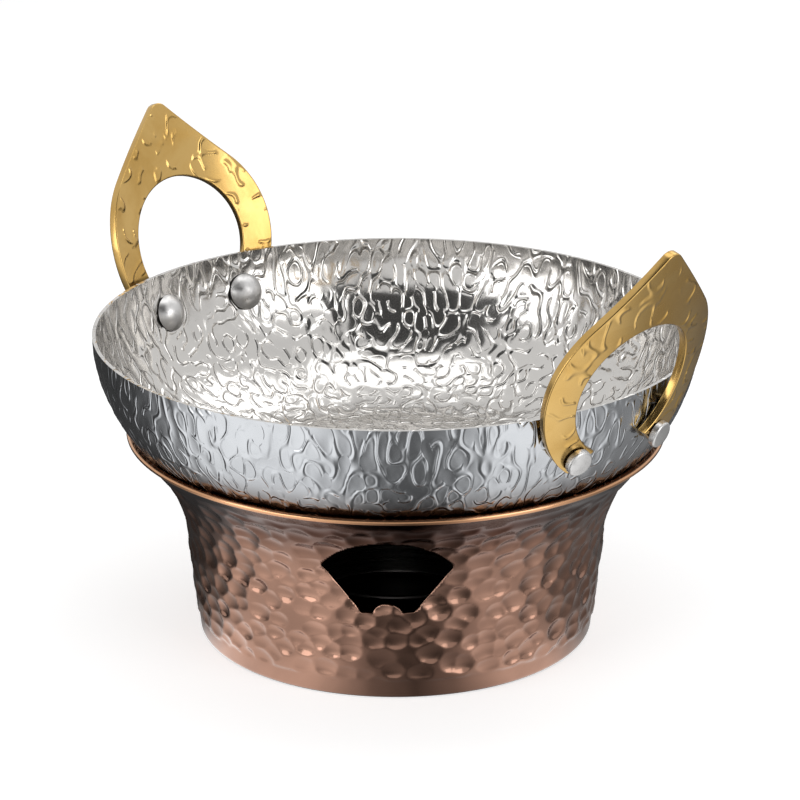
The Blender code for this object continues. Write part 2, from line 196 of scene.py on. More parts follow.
class RivetSettings(bpy.types.PropertyGroup):
    angle: angle("Angle", "Place of a rivet round the ring, from the tip", 143.0)
    shank_radius: length("Shank radius", "Radius of the shank", 0.0024)
    hole_gap: length("Hole gap", "Gap between the shank and its hole", 0.0002)
    dome_radius: length("Dome radius", "Radius of the head inside the pan", 0.0070)
    dome_height: length("Dome height", "Height of the head inside the pan", 0.0038)
    dome_gap: length("Dome gap", "Gap under the middle of the dome", 0.00105)
    disc_radius: length("Disc radius", "Radius of the outer head", 0.0049)
    disc_height: length("Disc height", "Height of the outer head", 0.0024)
    disc_round: length("Disc round", "Radius of the outer head's edge", 0.0009)
    steps: count("Steps", "Steps round a rivet", 64)
    steel: colour("Steel", "Colour of the rivets", (0.558, 0.552, 0.546))
    roughness: share("Roughness", "Roughness of the rivets", 0.38)


class StageSettings(bpy.types.PropertyGroup):
    camera_azimuth: angle("Camera azimuth", "Turn of the camera from the window side", 2.1)
    camera_elevation: angle("Camera elevation", "Height of the camera as an angle", 19.7)
    camera_distance: length("Camera distance", "From the camera to its target", 1.3)
    target_height: length("Target height", "Height that the camera looks at", 0.08656)
    target_side: length("Target side", "How far right of the axis the camera looks", 0.00156)
    lens: FloatProperty(name="Lens", description="Focal length in mm", default=159.84)
    world_dim: share("World dim", "Strength of the world where it lights matt surfaces", 0.4)
    floor_radius: length("Floor radius", "Radius of the floor", 4.0)
    floor: colour("Floor", "Colour of the floor", (0.66, 0.66, 0.66))
    floor_glow: colour("Floor glow", "Light that only the camera sees in the floor", (0.6, 0.6, 0.6))
    table_radius: length("Table radius", "Radius of the card that shines like a lit table", 1.2)
    table_height: length("Table height", "Height of that card over the floor", 0.0006)
    table_light: FloatProperty(name="Table light", description="Strength of that card", default=1.6)
    card_distance: length("Card distance", "From the object to the dark card", 0.9)


class TableStoveSettings(bpy.types.PropertyGroup):
    pan: PointerProperty(type=PanSettings)
    stove: PointerProperty(type=StoveSettings)
    burner: PointerProperty(type=BurnerSettings)
    handle: PointerProperty(type=HandleSettings)
    rivet: PointerProperty(type=RivetSettings)
    stage: PointerProperty(type=StageSettings)


# Shader maths


class Value:
    """A shader socket that takes part in sums; an expression on values adds its Math nodes."""

    def __init__(self, tree, socket):
        self.tree = tree
        self.socket = socket

    def math(self, operation, *others):
        inputs = dict(enumerate((self, *others)))
        return self.tree.node("ShaderNodeMath", {"operation": operation}, inputs)

    def __add__(self, other):
        return self.math("ADD", other)

    def __sub__(self, other):
        return self.math("SUBTRACT", other)

    def __mul__(self, other):
        return self.math("MULTIPLY", other)

    def __rsub__(self, other):
        return self * -1.0 + other

    def __abs__(self):
        return self.math("ABSOLUTE")

    __radd__ = __add__
    __rmul__ = __mul__


class Tree:
    """A node tree under construction, whose nodes are added by one method."""

    def __init__(self, tree):
        self.nodes = tree.nodes
        self.links = tree.links

    def put(self, socket, value):
        if isinstance(value, Value):
            self.links.new(value.socket, socket)
        else:
            socket.default_value = value

    def node(self, kind, settings=None, inputs=None, output=0):
        made = self.nodes.new(kind)
        for key, value in (settings or {}).items():
            if key == "stops":
                ramp = made.color_ramp.elements
                while len(ramp) < len(value):
                    ramp.new(0.5)
                for element, (place, shade) in zip(ramp, value):
                    element.position = place
                    element.color = shade
            else:
                setattr(made, key, value)
        for key, value in (inputs or {}).items():
            self.put(made.inputs[key], value)
        return Value(self, made.outputs[output])

    def ramp(self, value, low, high, start=0.0, end=1.0, kind="SMOOTHSTEP"):
        inputs = {"Value": value, "From Min": low, "From Max": high, "To Min": start, "To Max": end}
        return self.node("ShaderNodeMapRange", {"interpolation_type": kind}, inputs)


class Finish(Tree):
    """A material under construction, with the patterns and mixes that finishes are made of."""

    def __init__(self, name, base, roughness, metallic=1.0):
        self.material = bpy.data.materials.new(name)
        self.material.use_nodes = True
        super().__init__(self.material.node_tree)
        self.shader = self.nodes["Principled BSDF"]
        self.set("Base Color", rgba(base))
        self.set("Roughness", roughness)
        self.set("Metallic", metallic)

    def set(self, name, value):
        self.put(self.shader.inputs[name], value)

    def place(self):
        return self.node("ShaderNodeTexCoord", output="Object")

    def axis(self, name):
        return self.node("ShaderNodeSeparateXYZ", {}, {"Vector": self.place()}, output=name)

    def radius(self):
        settings = {"operation": "MULTIPLY"}
        flat = self.node("ShaderNodeVectorMath", settings, {0: self.place(), 1: (1, 1, 0)})
        return self.node("ShaderNodeVectorMath", {"operation": "LENGTH"}, {0: flat}, output="Value")

    def noise(self, scale, detail=2.0, rough=0.5, stretch=(1, 1, 1), warp=0.0):
        mapped = self.node("ShaderNodeMapping", {}, {"Vector": self.place(), "Scale": stretch})
        inputs = {"Vector": mapped, "Scale": scale, "Detail": detail}
        inputs.update({"Roughness": rough, "Distortion": warp})
        return self.node("ShaderNodeTexNoise", {}, inputs)

    def mix(self, factor, first, second):
        inputs = {"Factor": factor, 6: first, 7: second}
        return self.node("ShaderNodeMix", {"data_type": "RGBA"}, inputs, output=2)

    def wear(self, pattern, roughness, least, most, low=0.3, high=0.7):
        """Lets the pattern move the roughness between two shares of it."""
        self.set("Roughness", self.ramp(pattern, low, high, roughness * least, roughness * most))

    def stain(self, pattern, tint, stained, low=0.35, high=0.7):
        """The colour, which turns into the stained one where the pattern is high."""
        return self.mix(self.ramp(pattern, low, high), rgba(tint), stained)

    def bump(self, height, distance, strength=1.0, over=None):
        inputs = {"Height": height, "Distance": distance, "Strength": strength}
        if over:
            inputs["Normal"] = over
        return self.node("ShaderNodeBump", {}, inputs)


def rgba(tint):
    return (*tint, 1.0)


def shaded(tint, red, green, blue):
    """The colour with each channel darkened to this share."""
    return rgba((tint[0] * red, tint[1] * green, tint[2] * blue))


def dulled(tint, level):
    return shaded(tint, level, level, level)


class Ripples:
    """Waves crossing at many angles, the same in a mesh and in a material.

    Lines where their sum reaches a level wander like the ridges of embossed sheet.
    """

    TRIPLES = 8

    def __init__(self, spacing, stretch, seed):
        dice = random.Random(seed)
        turn = math.tau
        self.turns = [[dice.uniform(0, turn) for _ in range(3)] for _ in range(self.TRIPLES)]
        self.shifts = [[dice.uniform(0, turn) for _ in range(3)] for _ in range(self.TRIPLES)]
        self.scale = (turn / spacing, turn / spacing, turn / spacing * stretch)
        self.spread = math.sqrt(3 * self.TRIPLES / 2)

    def heights(self, points):
        total = np.zeros(len(points))
        for turns, shift in zip(self.turns, self.shifts):
            rotated = (points * self.scale) @ np.array(Euler(turns).to_matrix()).T
            total += np.cos(rotated + shift).sum(axis=1)
        return total / self.spread

    def value(self, finish):
        place = finish.place()
        total = 0.0
        for turns, shift in zip(self.turns, self.shifts):
            inputs = {"Vector": place, "Scale": self.scale, "Rotation": turns, "Location": shift}
            rotated = finish.node("ShaderNodeMapping", {}, inputs)
            wave = finish.node("ShaderNodeVectorMath", {"operation": "COSINE"}, {0: rotated})
            settings = {"operation": "DOT_PRODUCT"}
            ones = (1 / self.spread,) * 3
            part = finish.node("ShaderNodeVectorMath", settings, {0: wave, 1: ones}, output="Value")
            total = part + total
        return total


def smooth(value, low, high):
    part = np.clip((value - low) / (high - low), 0, 1)
    return part * part * (3 - 2 * part)


# Shapes shared by the pieces


def arc(centre, radius, start, end, segments):
    """Points on an arc, from the start angle to the end angle."""
    points = []
    for i in range(segments + 1):
        turn = start + (end - start) * i / segments
        points.append(centre + radius * Vector((math.cos(turn), math.sin(turn))))
    return points


def fillet(before, corner, after, radius, segments):
    """Points that round the corner of a path with an arc."""
    back = (before - corner).normalized()
    ahead = (after - corner).normalized()
    half = back.angle(ahead) / 2
    centre = corner + (back + ahead).normalized() * radius / math.sin(half)
    start = corner + back * radius / math.tan(half) - centre
    turn = start.angle_signed(corner + ahead * radius / math.tan(half) - centre)
    return [centre + Matrix.Rotation(-turn * i / segments, 2) @ start for i in range(segments + 1)]


def line(start, end, segments):
    return [start.lerp(end, i / segments) for i in range(segments)]


def side_of(path, offset):
    """The path moved sideways by this much, to the left of its direction."""
    moved = []
    for i, point in enumerate(path):
        before = (point - path[i - 1]).normalized() if i else None
        after = (path[i + 1] - point).normalized() if i + 1 < len(path) else None
        along = ((before or after) + (after or before)).normalized()
        moved.append(point + Vector((-along.y, along.x)) * offset / along.dot(after or before))
    return moved


def sheet(path, thickness):
    return side_of(path, -thickness / 2) + side_of(path, thickness / 2)[::-1]


SECTORS = 32
ON_AXIS = 1e-6
MERGED = 5e-6


def turned(section, steps):
    """A solid turned about Z from a section of (radius, height) points.

    One sector is spun, then doubled until the copies close the circle.
    """
    bm = bmesh.new()
    verts = [bm.verts.new((max(point.x, 0.0), 0.0, point.y)) for point in section]
    for i in range(len(verts) - 1):
        bm.edges.new((verts[i], verts[i + 1]))
    if max(section[0].x, section[-1].x) > ON_AXIS:
        bm.edges.new((verts[-1], verts[0]))
    covered = math.tau / SECTORS
    bmesh.ops.spin(
        bm,
        geom=bm.verts[:] + bm.edges[:],
        cent=(0, 0, 0),
        axis=(0, 0, 1),
        angle=covered,
        steps=steps // SECTORS,
    )
    while covered < math.tau * 0.75:
        copy = bmesh.ops.duplicate(bm, geom=bm.verts[:] + bm.edges[:] + bm.faces[:])["geom"]
        verts = [item for item in copy if isinstance(item, bmesh.types.BMVert)]
        bmesh.ops.rotate(bm, verts=verts, cent=(0, 0, 0), matrix=Matrix.Rotation(covered, 3, "Z"))
        covered *= 2
    bmesh.ops.remove_doubles(bm, verts=bm.verts, dist=MERGED)
    return bm


def add_object(name, bm, sharp=math.radians(40)):
    bmesh.ops.recalc_face_normals(bm, faces=bm.faces)
    if bm.calc_volume(signed=True) < 0:
        bmesh.ops.reverse_faces(bm, faces=bm.faces)
    mesh = bpy.data.meshes.new(name)
    bm.to_mesh(mesh)
    bm.free()
    mesh.shade_smooth()
    mesh.set_sharp_from_angle(angle=sharp)
    obj = bpy.data.objects.new(name, mesh)
    bpy.context.scene.collection.objects.link(obj)
    return obj


def cut(piece, cutters):
    """Cuts the closed cutters out of the piece and removes them."""
    for cutter in cutters:
        modifier = piece.modifiers.new(cutter.name, "BOOLEAN")
        modifier.operation = "DIFFERENCE"
        modifier.solver = "MANIFOLD"
        modifier.object = cutter
    graph = bpy.context.evaluated_depsgraph_get()
    before = len(piece.data.vertices)
    mesh = bpy.data.meshes.new_from_object(piece.evaluated_get(graph))
    if len(mesh.vertices) == before:
        raise RuntimeError(f"nothing was cut from {piece.name}")
    piece.modifiers.clear()
    piece.data = mesh
    for cutter in cutters:
        bpy.data.objects.remove(cutter)


def points_of(mesh):
    points = np.empty(len(mesh.vertices) * 3, np.float32)
    mesh.vertices.foreach_get("co", points)
    return points.reshape(-1, 3).astype(float)


def push_out(mesh, amounts):
    """Moves each vertex along its normal."""
    normals = np.empty(len(mesh.vertices) * 3, np.float32)
    mesh.vertex_normals.foreach_get("vector", normals)
    points = points_of(mesh) + normals.reshape(-1, 3) * amounts[:, None]
    mesh.vertices.foreach_set("co", points.ravel().astype(np.float32))
    mesh.update()


def stand_for(piece, node, finish, body):
    """Gives the piece its finish, hides the plain node and rides on its body."""
    piece.data.materials.clear()
    piece.data.materials.append(finish)
    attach(piece, body)
    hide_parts(node)


# The pan

# Steps along its outline, with few where the stove hides it
INNER_FLOOR_STEPS = 36
INNER_WALL_STEPS = 76
OUTER_WALL_STEPS = 42
HIDDEN_WALL_STEPS = 12
HIDDEN_FLOOR_STEPS = 8
HIDDEN_WALL_ANGLE = math.radians(-43)


class PanShape:
    """Places on the pan that other pieces follow."""

    def __init__(self, size):
        self.size = size
        self.arc_height = size.rim_height + size.arc_above_rim
        reach = size.depth + size.arc_above_rim
        inset = size.wall_spread / 2 + (reach**2 - size.arc_above_rim**2) / 2 / size.wall_spread
        self.arc_radius = size.rim_radius - inset
        self.wall_arc = math.hypot(inset, size.arc_above_rim)

    def section(self):
        """Half outline: up the inner face, over the rim, down the outer face."""
        size = self.size
        centre = Vector((self.arc_radius, self.arc_height))
        inner_arc = self.wall_arc - size.sheet
        inner_floor = size.rim_height - size.depth + size.sheet
        outer_floor = size.rim_height - size.depth
        inner_start = -math.asin((self.arc_height - inner_floor) / inner_arc)
        outer_start = -math.asin((self.arc_height - outer_floor) / self.wall_arc)
        inner_end = -math.asin(size.arc_above_rim / inner_arc)
        outer_end = -math.asin(size.arc_above_rim / self.wall_arc)
        inside = arc(centre, inner_arc, inner_start, inner_end, INNER_WALL_STEPS)
        outside = arc(centre, self.wall_arc, outer_end, HIDDEN_WALL_ANGLE, OUTER_WALL_STEPS)
        below = arc(centre, self.wall_arc, HIDDEN_WALL_ANGLE, outer_start, HIDDEN_WALL_STEPS)[1:]
        floor = line(Vector((0, inner_floor)), inside[0], INNER_FLOOR_STEPS)
        underside = line(Vector((0, outer_floor)), below[-1], HIDDEN_FLOOR_STEPS)[::-1]
        rim = line(inside[-1], outside[0], 2)[1:]
        return floor + inside + rim + outside + below + underside


# The ridges run where the sum of the ripples is near zero
RIDGE_FINE = 0.72  # level at which a ridge's crisp crest, made in the material, has faded
RIDGE_BROAD = 1.15  # the same for its broad form, made in the mesh
RIDGE_BROAD_SHARE = 0.6  # of the ridge's height
SWELL_SHARE = 0.12  # height of the sheet's slow swell, of the ridge's height
GATE_LOW = -1.1  # level of the second ripples under which there are no ridges
GATE_HIGH = -0.5  # level of the second ripples over which they are whole
RIDGE_SEED = 7
GAP_SEED = 8
GAP_SPACING = 0.9  # wave length of the second ripples, of the first
RIM_PLAIN = 0.0005  # depth of the plain edge under the rim
RIM_FADE = 0.005  # depth at which the ridges are whole
STEEL_GRAIN = 0.00001  # depth of the fine scratches
PAN_SHADE_SPARE = 0.001  # depth under the stove's lip from which the painted shade fades upwards
PAN_SHADE_RISE = 0.014  # height over the stove's lip to which the pan's outer wall is painted dark, as painted shade and reflection of the lip
PAN_SHADE_TINT = (0.20, 0.14, 0.11)  # what the painted shade leaves of the steel's red, green and blue


def steel_finish(name, size, tint, pattern, gaps, shadowed=0.0):
    """Embossed steel with smudges, painted dark from the stove's lip upwards as painted shade and
    reflection of the lip.
    """
    finish = Finish(name, tint, size.roughness)
    off = abs(pattern.value(finish))
    fine = finish.ramp(off, 0, RIDGE_FINE, 1, 0)
    broad = finish.ramp(off, 0, RIDGE_BROAD, 1, 0)
    whole = finish.ramp(gaps.value(finish), GATE_LOW, GATE_HIGH)
    relief = (fine - broad * RIDGE_BROAD_SHARE) * whole
    grain = finish.noise(900, 3, 0.6)
    scratched = finish.bump(grain, STEEL_GRAIN, 0.5)
    finish.set("Normal", finish.bump(relief, size.ridge_height, 1.0, scratched))
    smudge = finish.noise(28, 4, 0.6, warp=0.4)
    finish.wear(smudge, size.roughness, 0.75, 1.3, high=0.75)
    body = finish.stain(smudge, tint, dulled(tint, 0.9))
    # painted shade: from the stove's lip up a little way the outer wall is painted dark, for the lip's
    # shade and its reflection; cool is the share left unshaded
    if shadowed:
        cool = finish.ramp(finish.axis("Z"), shadowed - PAN_SHADE_SPARE, shadowed + PAN_SHADE_RISE)
        body = finish.mix(cool, shaded(tint, *PAN_SHADE_TINT), body)
    finish.set("Base Color", body)
    return finish.material


def build_pan(settings):
    size = settings.pan
    shape = PanShape(size)
    pan = add_object("embossed_pan", turned(shape.section(), size.steps))
    pattern = Ripples(size.ridge_spacing, size.ridge_stretch, RIDGE_SEED)
    gaps = Ripples(size.ridge_spacing * GAP_SPACING, size.ridge_stretch, GAP_SEED)
    points = points_of(pan.data)
    lines = 1 - smooth(np.abs(pattern.heights(points)), 0, RIDGE_BROAD)
    swell = gaps.heights(points)
    lines *= smooth(swell, GATE_LOW, GATE_HIGH)
    rim = smooth(size.rim_height - points[:, 2], RIM_PLAIN, RIM_FADE)
    lines *= rim
    swell *= rim
    lines = lines * RIDGE_BROAD_SHARE + swell * SWELL_SHARE
    push_out(pan.data, lines * size.ridge_height)
    cut(pan, [cutter for _, cutter in rivet_cutters(settings, "pan")])
    # two painted copies of one steel: warmer inside, darker and bluer outside, as painted reflection
    # and shade
    inner = steel_finish("warm embossed steel", size, size.steel, pattern, gaps)
    stand_for(pan, "pan_bowl", inner, "pan")
    lip = settings.stove.height
    outer = steel_finish("cool embossed steel", size, size.shaded_outer_steel, pattern, gaps, lip)
    pan.data.materials.append(outer)
    # the outer faces get the darker, bluer copy of the steel, which carries painted shade and
    # reflection
    outside = []
    for polygon in pan.data.polygons:
        outward = (polygon.center * Vector((1, 1, 0))).normalized()
        outside.append(polygon.normal.dot(outward) > polygon.normal.z)
    pan.data.polygons.foreach_set("material_index", np.array(outside, np.int32))


# The stove

CUTTER_SPARE = 0.01  # how far the window's cutter starts in front of the shell
COAT_GRAIN = 0.00002  # depth of the fine grain of a coat or of bare sheet
WALL_POINTS = slice(7, 120)  # of the dense path: from the bend at the foot to well up the flare


def stove_path(size, dense):
    """Middle of the shell's sheet, from its foot up to the inner edge of its lip."""
    base = size.lip_radius - size.overhang - size.taper
    waist = Vector((base + size.taper - size.sheet / 2, size.height - size.flare_rise))
    foot = Vector((base - size.base_bend - size.foot_width, size.sheet / 2))
    corner = Vector((base - size.sheet / 2, size.sheet / 2))
    bead = size.lip_bead - size.sheet / 2
    bead_centre = Vector((size.lip_radius - size.lip_bead, size.height - size.lip_bead))
    out = bead_centre.x - waist.x
    rise = bead_centre.y - waist.y
    reach = (rise**2 + out**2 - bead**2) / 2 / (out + bead)
    slope = math.atan2(rise, reach - out)
    flare = arc(waist + Vector((reach, 0)), reach, math.pi, math.pi - slope, 66 if dense else 8)
    lip = arc(bead_centre, bead, -slope, math.pi / 2, 12 if dense else 4)
    lip_edge = Vector((size.lip_radius - size.lip_width, lip[-1].y))
    round_foot = fillet(foot, corner, waist, size.base_bend - size.sheet / 2, 6 if dense else 3)
    body = line(round_foot[-1], waist, 54 if dense else 3)[1:]
    flat = line(lip[-1], lip_edge, 3)[1:]
    return [foot, *round_foot, *body, *flare, *lip[1:], *flat, lip_edge]


def window_outline(size):
    """The fan-shaped window as seen from the front, as (x, z) points."""
    top = size.height - size.window_top_drop
    low = top - size.window_rise
    width = size.window_half_width
    top_arc = (width**2 + size.window_arch_rise**2) / (2 * size.window_arch_rise)
    half = math.asin(width / top_arc)
    arch = arc(Vector((0, top - top_arc)), top_arc, math.pi / 2 - half, math.pi / 2, 24)
    sill = Vector((size.sill_half_width, low))
    notch = Vector((size.hump_half_width, low))
    hump_arc = (size.hump_half_width**2 + size.hump_rise**2) / (2 * size.hump_rise)
    hump_half = math.asin(size.hump_half_width / hump_arc)
    hump_centre = Vector((0, low + size.hump_rise - hump_arc))
    hump = arc(hump_centre, hump_arc, math.pi / 2, math.pi / 2 - hump_half, 14)
    right = hump[:-1]
    right += fillet(hump[-2], notch, sill, size.window_notch, 3)
    right += fillet(notch, sill, arch[0], size.window_lobe, 8)
    right += fillet(sill, arch[0], arch[3], size.window_corner, 8)
    right += arch[4:]
    return right + [Vector((-point.x, point.y)) for point in right[-2:0:-1]]


def window_cutter(size):
    bm = bmesh.new()
    front = size.lip_radius + CUTTER_SPARE
    outline = window_outline(size)
    face = bm.faces.new([bm.verts.new((point.x, -front, point.y)) for point in outline])
    pushed = bmesh.ops.extrude_face_region(bm, geom=[face])
    moved = [item for item in pushed["geom"] if isinstance(item, bmesh.types.BMVert)]
    bmesh.ops.translate(bm, verts=moved, vec=(0, front - size.lip_radius / 2, 0))
    return add_object("window_cutter", bm)


# Hammer marks, in shares of a mark's width, height and depth
DENT_RISE = 0.85  # depth at which the face keeps its place
DENT_LEAST = 0.3  # depth of the ridges between marks, which stand out
DENT_SEED = 11
DENT_JITTER = 0.34  # how far a mark strays from its place in the row
DENT_STRENGTH = (0.6, 1.15)
DENT_SPREAD = (0.85, 1.15)
DENT_ROW_RISE = 0.78  # from one row of marks up to the next
DENT_REACH = 0.66  # from the middle of a mark to where its hollow would end
NEAREST_DENTS = 5
DENT_CRISP = 0.35  # how much the material sharpens the marks that the mesh holds
BAND_FADE = 0.0012  # half the height over which the marks fade into the lower band
UPPER_FADE = 0.003  # from where the marks begin to fade up to the upper band


def hammer_marks(size, points):
    """How deep the hammered marks are at these points of the shell's outer face."""
    dice = random.Random(DENT_SEED)
    tall = size.dent_width / size.dent_height
    radius = size.lip_radius - size.overhang
    number = round(math.tau * radius / size.dent_width)
    places = []
    marks = []
    height = 0.0
    row = 0
    while height < size.height:
        for i in range(number):
            stray = dice.uniform(-DENT_JITTER, DENT_JITTER)
            turn = math.tau * (i + 0.5 * (row % 2) + stray) / number
            level = height + size.dent_height * dice.uniform(-DENT_JITTER, DENT_JITTER)
            places.append((radius * math.cos(turn), radius * math.sin(turn), level * tall))
            marks.append((dice.uniform(*DENT_STRENGTH), dice.uniform(*DENT_SPREAD)))
        height += size.dent_height * DENT_ROW_RISE
        row += 1
    tree = KDTree(len(places))
    for i, place in enumerate(places):
        tree.insert(place, i)
    tree.balance()
    around = np.hypot(points[:, 0], points[:, 1])
    flat = points * np.stack([radius / around, radius / around, np.full(len(points), tall)], axis=1)
    depths = np.zeros(len(points))
    reach = size.dent_width * DENT_REACH
    for i, place in enumerate(flat):
        deepest = DENT_LEAST
        for _, index, gap in tree.find_n(place, NEAREST_DENTS):
            strength, wide = marks[index]
            deepest = max(deepest, strength * (1 - (gap / reach / wide) ** 2))
        depths[i] = deepest
    return depths


def copper_finish(size):
    finish = Finish("hammered copper", size.copper, size.roughness)
    tone = finish.noise(16, 4, 0.6, warp=0.5)
    fine = finish.noise(160, 3, 0.6)
    body = finish.stain(tone, size.copper, dulled(size.copper, 0.72), high=0.68)
    height = finish.axis("Z")
    # painted shade: the flare is painted darker towards the overhanging lip, which shades it
    under_lip_shade = finish.ramp(height, size.height - size.shade_start_depth, size.height - size.shade_full_depth)
    body = finish.mix(under_lip_shade, body, rgba(size.burnt_and_shade_tint))
    # the lip: its flat top takes the dark tint, and the bead at its edge a brighter copper as a
    # painted highlight
    lip = finish.ramp(height, size.height - 2.4 * size.lip_bead, size.height - 1.8 * size.lip_bead)
    edge = size.lip_radius - 1.6 * size.lip_bead
    bead = finish.ramp(finish.radius(), edge - size.lip_width / 3, edge)
    band = finish.mix(bead, rgba(size.burnt_and_shade_tint), rgba(size.bead_highlight_copper))
    finish.set("Base Color", finish.mix(lip, body, band))
    finish.wear(tone * 0.6 + fine * 0.4, size.roughness, 0.8, 1.25, 0.35, 0.65)
    hammered = finish.node("ShaderNodeAttribute", {"attribute_name": "hammered"}, output="Fac")
    finish.set("Normal", finish.bump(hammered, 1.0, DENT_CRISP, finish.bump(fine, COAT_GRAIN, 0.6)))
    return finish.material


# A near-black finish with random soot patches; the dark base colour it is given is painted shade for
# the pieces inside the stove.
def dark_finish(name, tint, roughness):
    finish = Finish(name, tint, roughness)
    soot = finish.noise(60, 4, 0.6)
    finish.set("Base Color", finish.stain(soot, tint, dulled(tint, 0.6), high=0.65))
    finish.wear(soot, roughness, 0.8, 1.2)
    finish.set("Normal", finish.bump(finish.noise(500, 2), COAT_GRAIN, 0.5))
    return finish.material


def wall_middle(points, size):
    """Distance from the axis of each point, and of the middle of the wall at its height."""
    middle = sorted((point.y, point.x) for point in stove_path(size, True)[WALL_POINTS])
    heights, radii = zip(*middle)
    return np.hypot(points[:, 0], points[:, 1]), np.interp(points[:, 2], heights, radii)


def build_shell(settings):
    size = settings.stove
    outer = side_of(stove_path(size, True), -size.sheet / 2)
    inner = side_of(stove_path(size, False), size.sheet / 2)
    shell = add_object("hammered_shell", turned(outer + inner[::-1], size.steps))
    points = points_of(shell.data)
    radius, middle = wall_middle(points, size)
    low = smooth(points[:, 2], size.band_low - BAND_FADE, size.band_low + BAND_FADE)
    top = size.height - size.band_high
    high = 1 - smooth(points[:, 2], top - UPPER_FADE, top + UPPER_FADE / 1.5)
    struck = (radius > middle) * low * high
    amounts = np.zeros(len(points))
    chosen = struck > 0
    marks = DENT_RISE - hammer_marks(size, points[chosen])
    amounts[chosen] = marks * struck[chosen] * size.dent_depth
    push_out(shell.data, amounts)
    hammered = shell.data.attributes.new("hammered", "FLOAT", "POINT")
    hammered.data.foreach_set("value", amounts.astype(np.float32))
    cut(shell, [window_cutter(size)])
    stand_for(shell, "stove_shell", copper_finish(size), "stove")
    # the inside faces get a near-black finish as painted shade
    shell.data.materials.append(dark_finish("dark inside", size.inside, 0.45))
    darken_inside(shell.data, size)


def darken_inside(mesh, size):
    """Gives the faces inside the shell the dark material, painted shade for the closed inside of the
    stove.
    """
    centres = np.empty(len(mesh.polygons) * 3, np.float32)
    mesh.polygons.foreach_get("center", centres)
    centres = centres.reshape(-1, 3)
    radius, middle = wall_middle(centres, size)
    under_lip = centres[:, 2] < size.height - 2.2 * size.lip_bead
    inside = (radius < middle - size.sheet * 0.3) & under_lip
    mesh.polygons.foreach_set("material_index", inside.astype(np.int32))
    mesh.update()


# Inside the stove

PLATE_STEPS = 160
CUP_STEPS = 128
TURNING_STRETCH = (0.3, 0.3, 30)  # draws the noise out into rings, as turning leaves them


def cup_neck(size):
    return size.cup_radius - 2 * size.cup_bead + size.cup_sheet / 2


def build_base_plate(settings):
    size = settings.burner
    stove = settings.stove
    base = stove.lip_radius - stove.overhang - stove.taper
    slope = stove.taper / (stove.height - stove.flare_rise)
    low = stove.sheet + SEAT_GAP + size.plate_sheet / 2
    wall = base - stove.sheet - SEAT_GAP * 1.2 - size.plate_sheet / 2
    ring_in = cup_neck(size) - size.cup_taper + size.cup_sheet / 2 + SEAT_GAP + size.plate_sheet / 2
    centre = Vector((0, low))
    start = Vector((ring_in, low))
    crest = Vector((ring_in + size.ring_width / 2, low + size.ring_rise))
    end = Vector((ring_in + size.ring_width, low))
    corner = Vector((wall + slope * low, low))
    rim = Vector((wall + slope * size.plate_rim, size.plate_rim))
    path = [centre]
    path += fillet(centre, start, crest, size.ring_bend, 4)
    path += fillet(start, crest, end, size.ring_bend, 6)
    path += fillet(crest, end, corner, size.ring_bend, 4)
    path += fillet(end, corner, rim, stove.base_bend, 6)
    path += [rim]
    plate = add_object("pressed_base_plate", turned(sheet(path, size.plate_sheet), PLATE_STEPS))
    # the base plate's near-black tint is painted shade
    stand_for(plate, "base_plate", dark_finish("dark sheet", size.plate_shade_tint, 0.5), "stove")


def build_cup(settings):
    size = settings.burner
    low = CUP_LOW.z + size.cup_sheet / 2
    top = CUP_LOW.z + size.cup_height
    neck = Vector((cup_neck(size), top - size.cup_bead))
    corner = Vector((neck.x - size.cup_taper, low))
    roll = size.cup_bead - size.cup_sheet / 2
    bead = arc(Vector((neck.x + roll, neck.y)), roll, math.pi, -math.pi / 3, 16)
    path = [Vector((0, low)), *fillet(Vector((0, low)), corner, neck, size.cup_bend, 8), *bead]
    cup = add_object("spun_fuel_cup", turned(sheet(path, size.cup_sheet), CUP_STEPS))
    # the cup steel's colour is darkened as painted shade
    finish = Finish("cup steel", size.steel, 0.3)
    turning = finish.noise(40, 3, 0.6, stretch=TURNING_STRETCH)
    finish.wear(turning, 1.0, 0.22, 0.42)
    finish.set("Normal", finish.bump(turning, 0.00003, 0.6))
    stand_for(cup, "fuel_cup", finish.material, "burner")


# Handles and rivets

PIN_LENGTH = 0.015  # of the pins that cut the rivet holes
HANDLE_SEEDS = {"right": 21, "left": 33}
BREAK_SEED = 5
BREAK_SPACING = 1.3  # wave length of the marks' breaks, of the marks
BREAK_LOW = -0.35  # level of the breaks' ripples under which there are no marks
BREAK_HIGH = 0.1  # level of the breaks' ripples over which they are whole
MARK_WIDTH = 0.55  # level of the marks' ripples at which a mark has faded
MARK_SINK = 0.8  # how far the faces are sunk, in mark heights, to keep the plate's thickness
DISC_CROWN = 0.0002  # rise of a rivet's outer head towards its middle
TIP_CROWDING = 0.65  # how much the steps along the plate crowd towards its tip


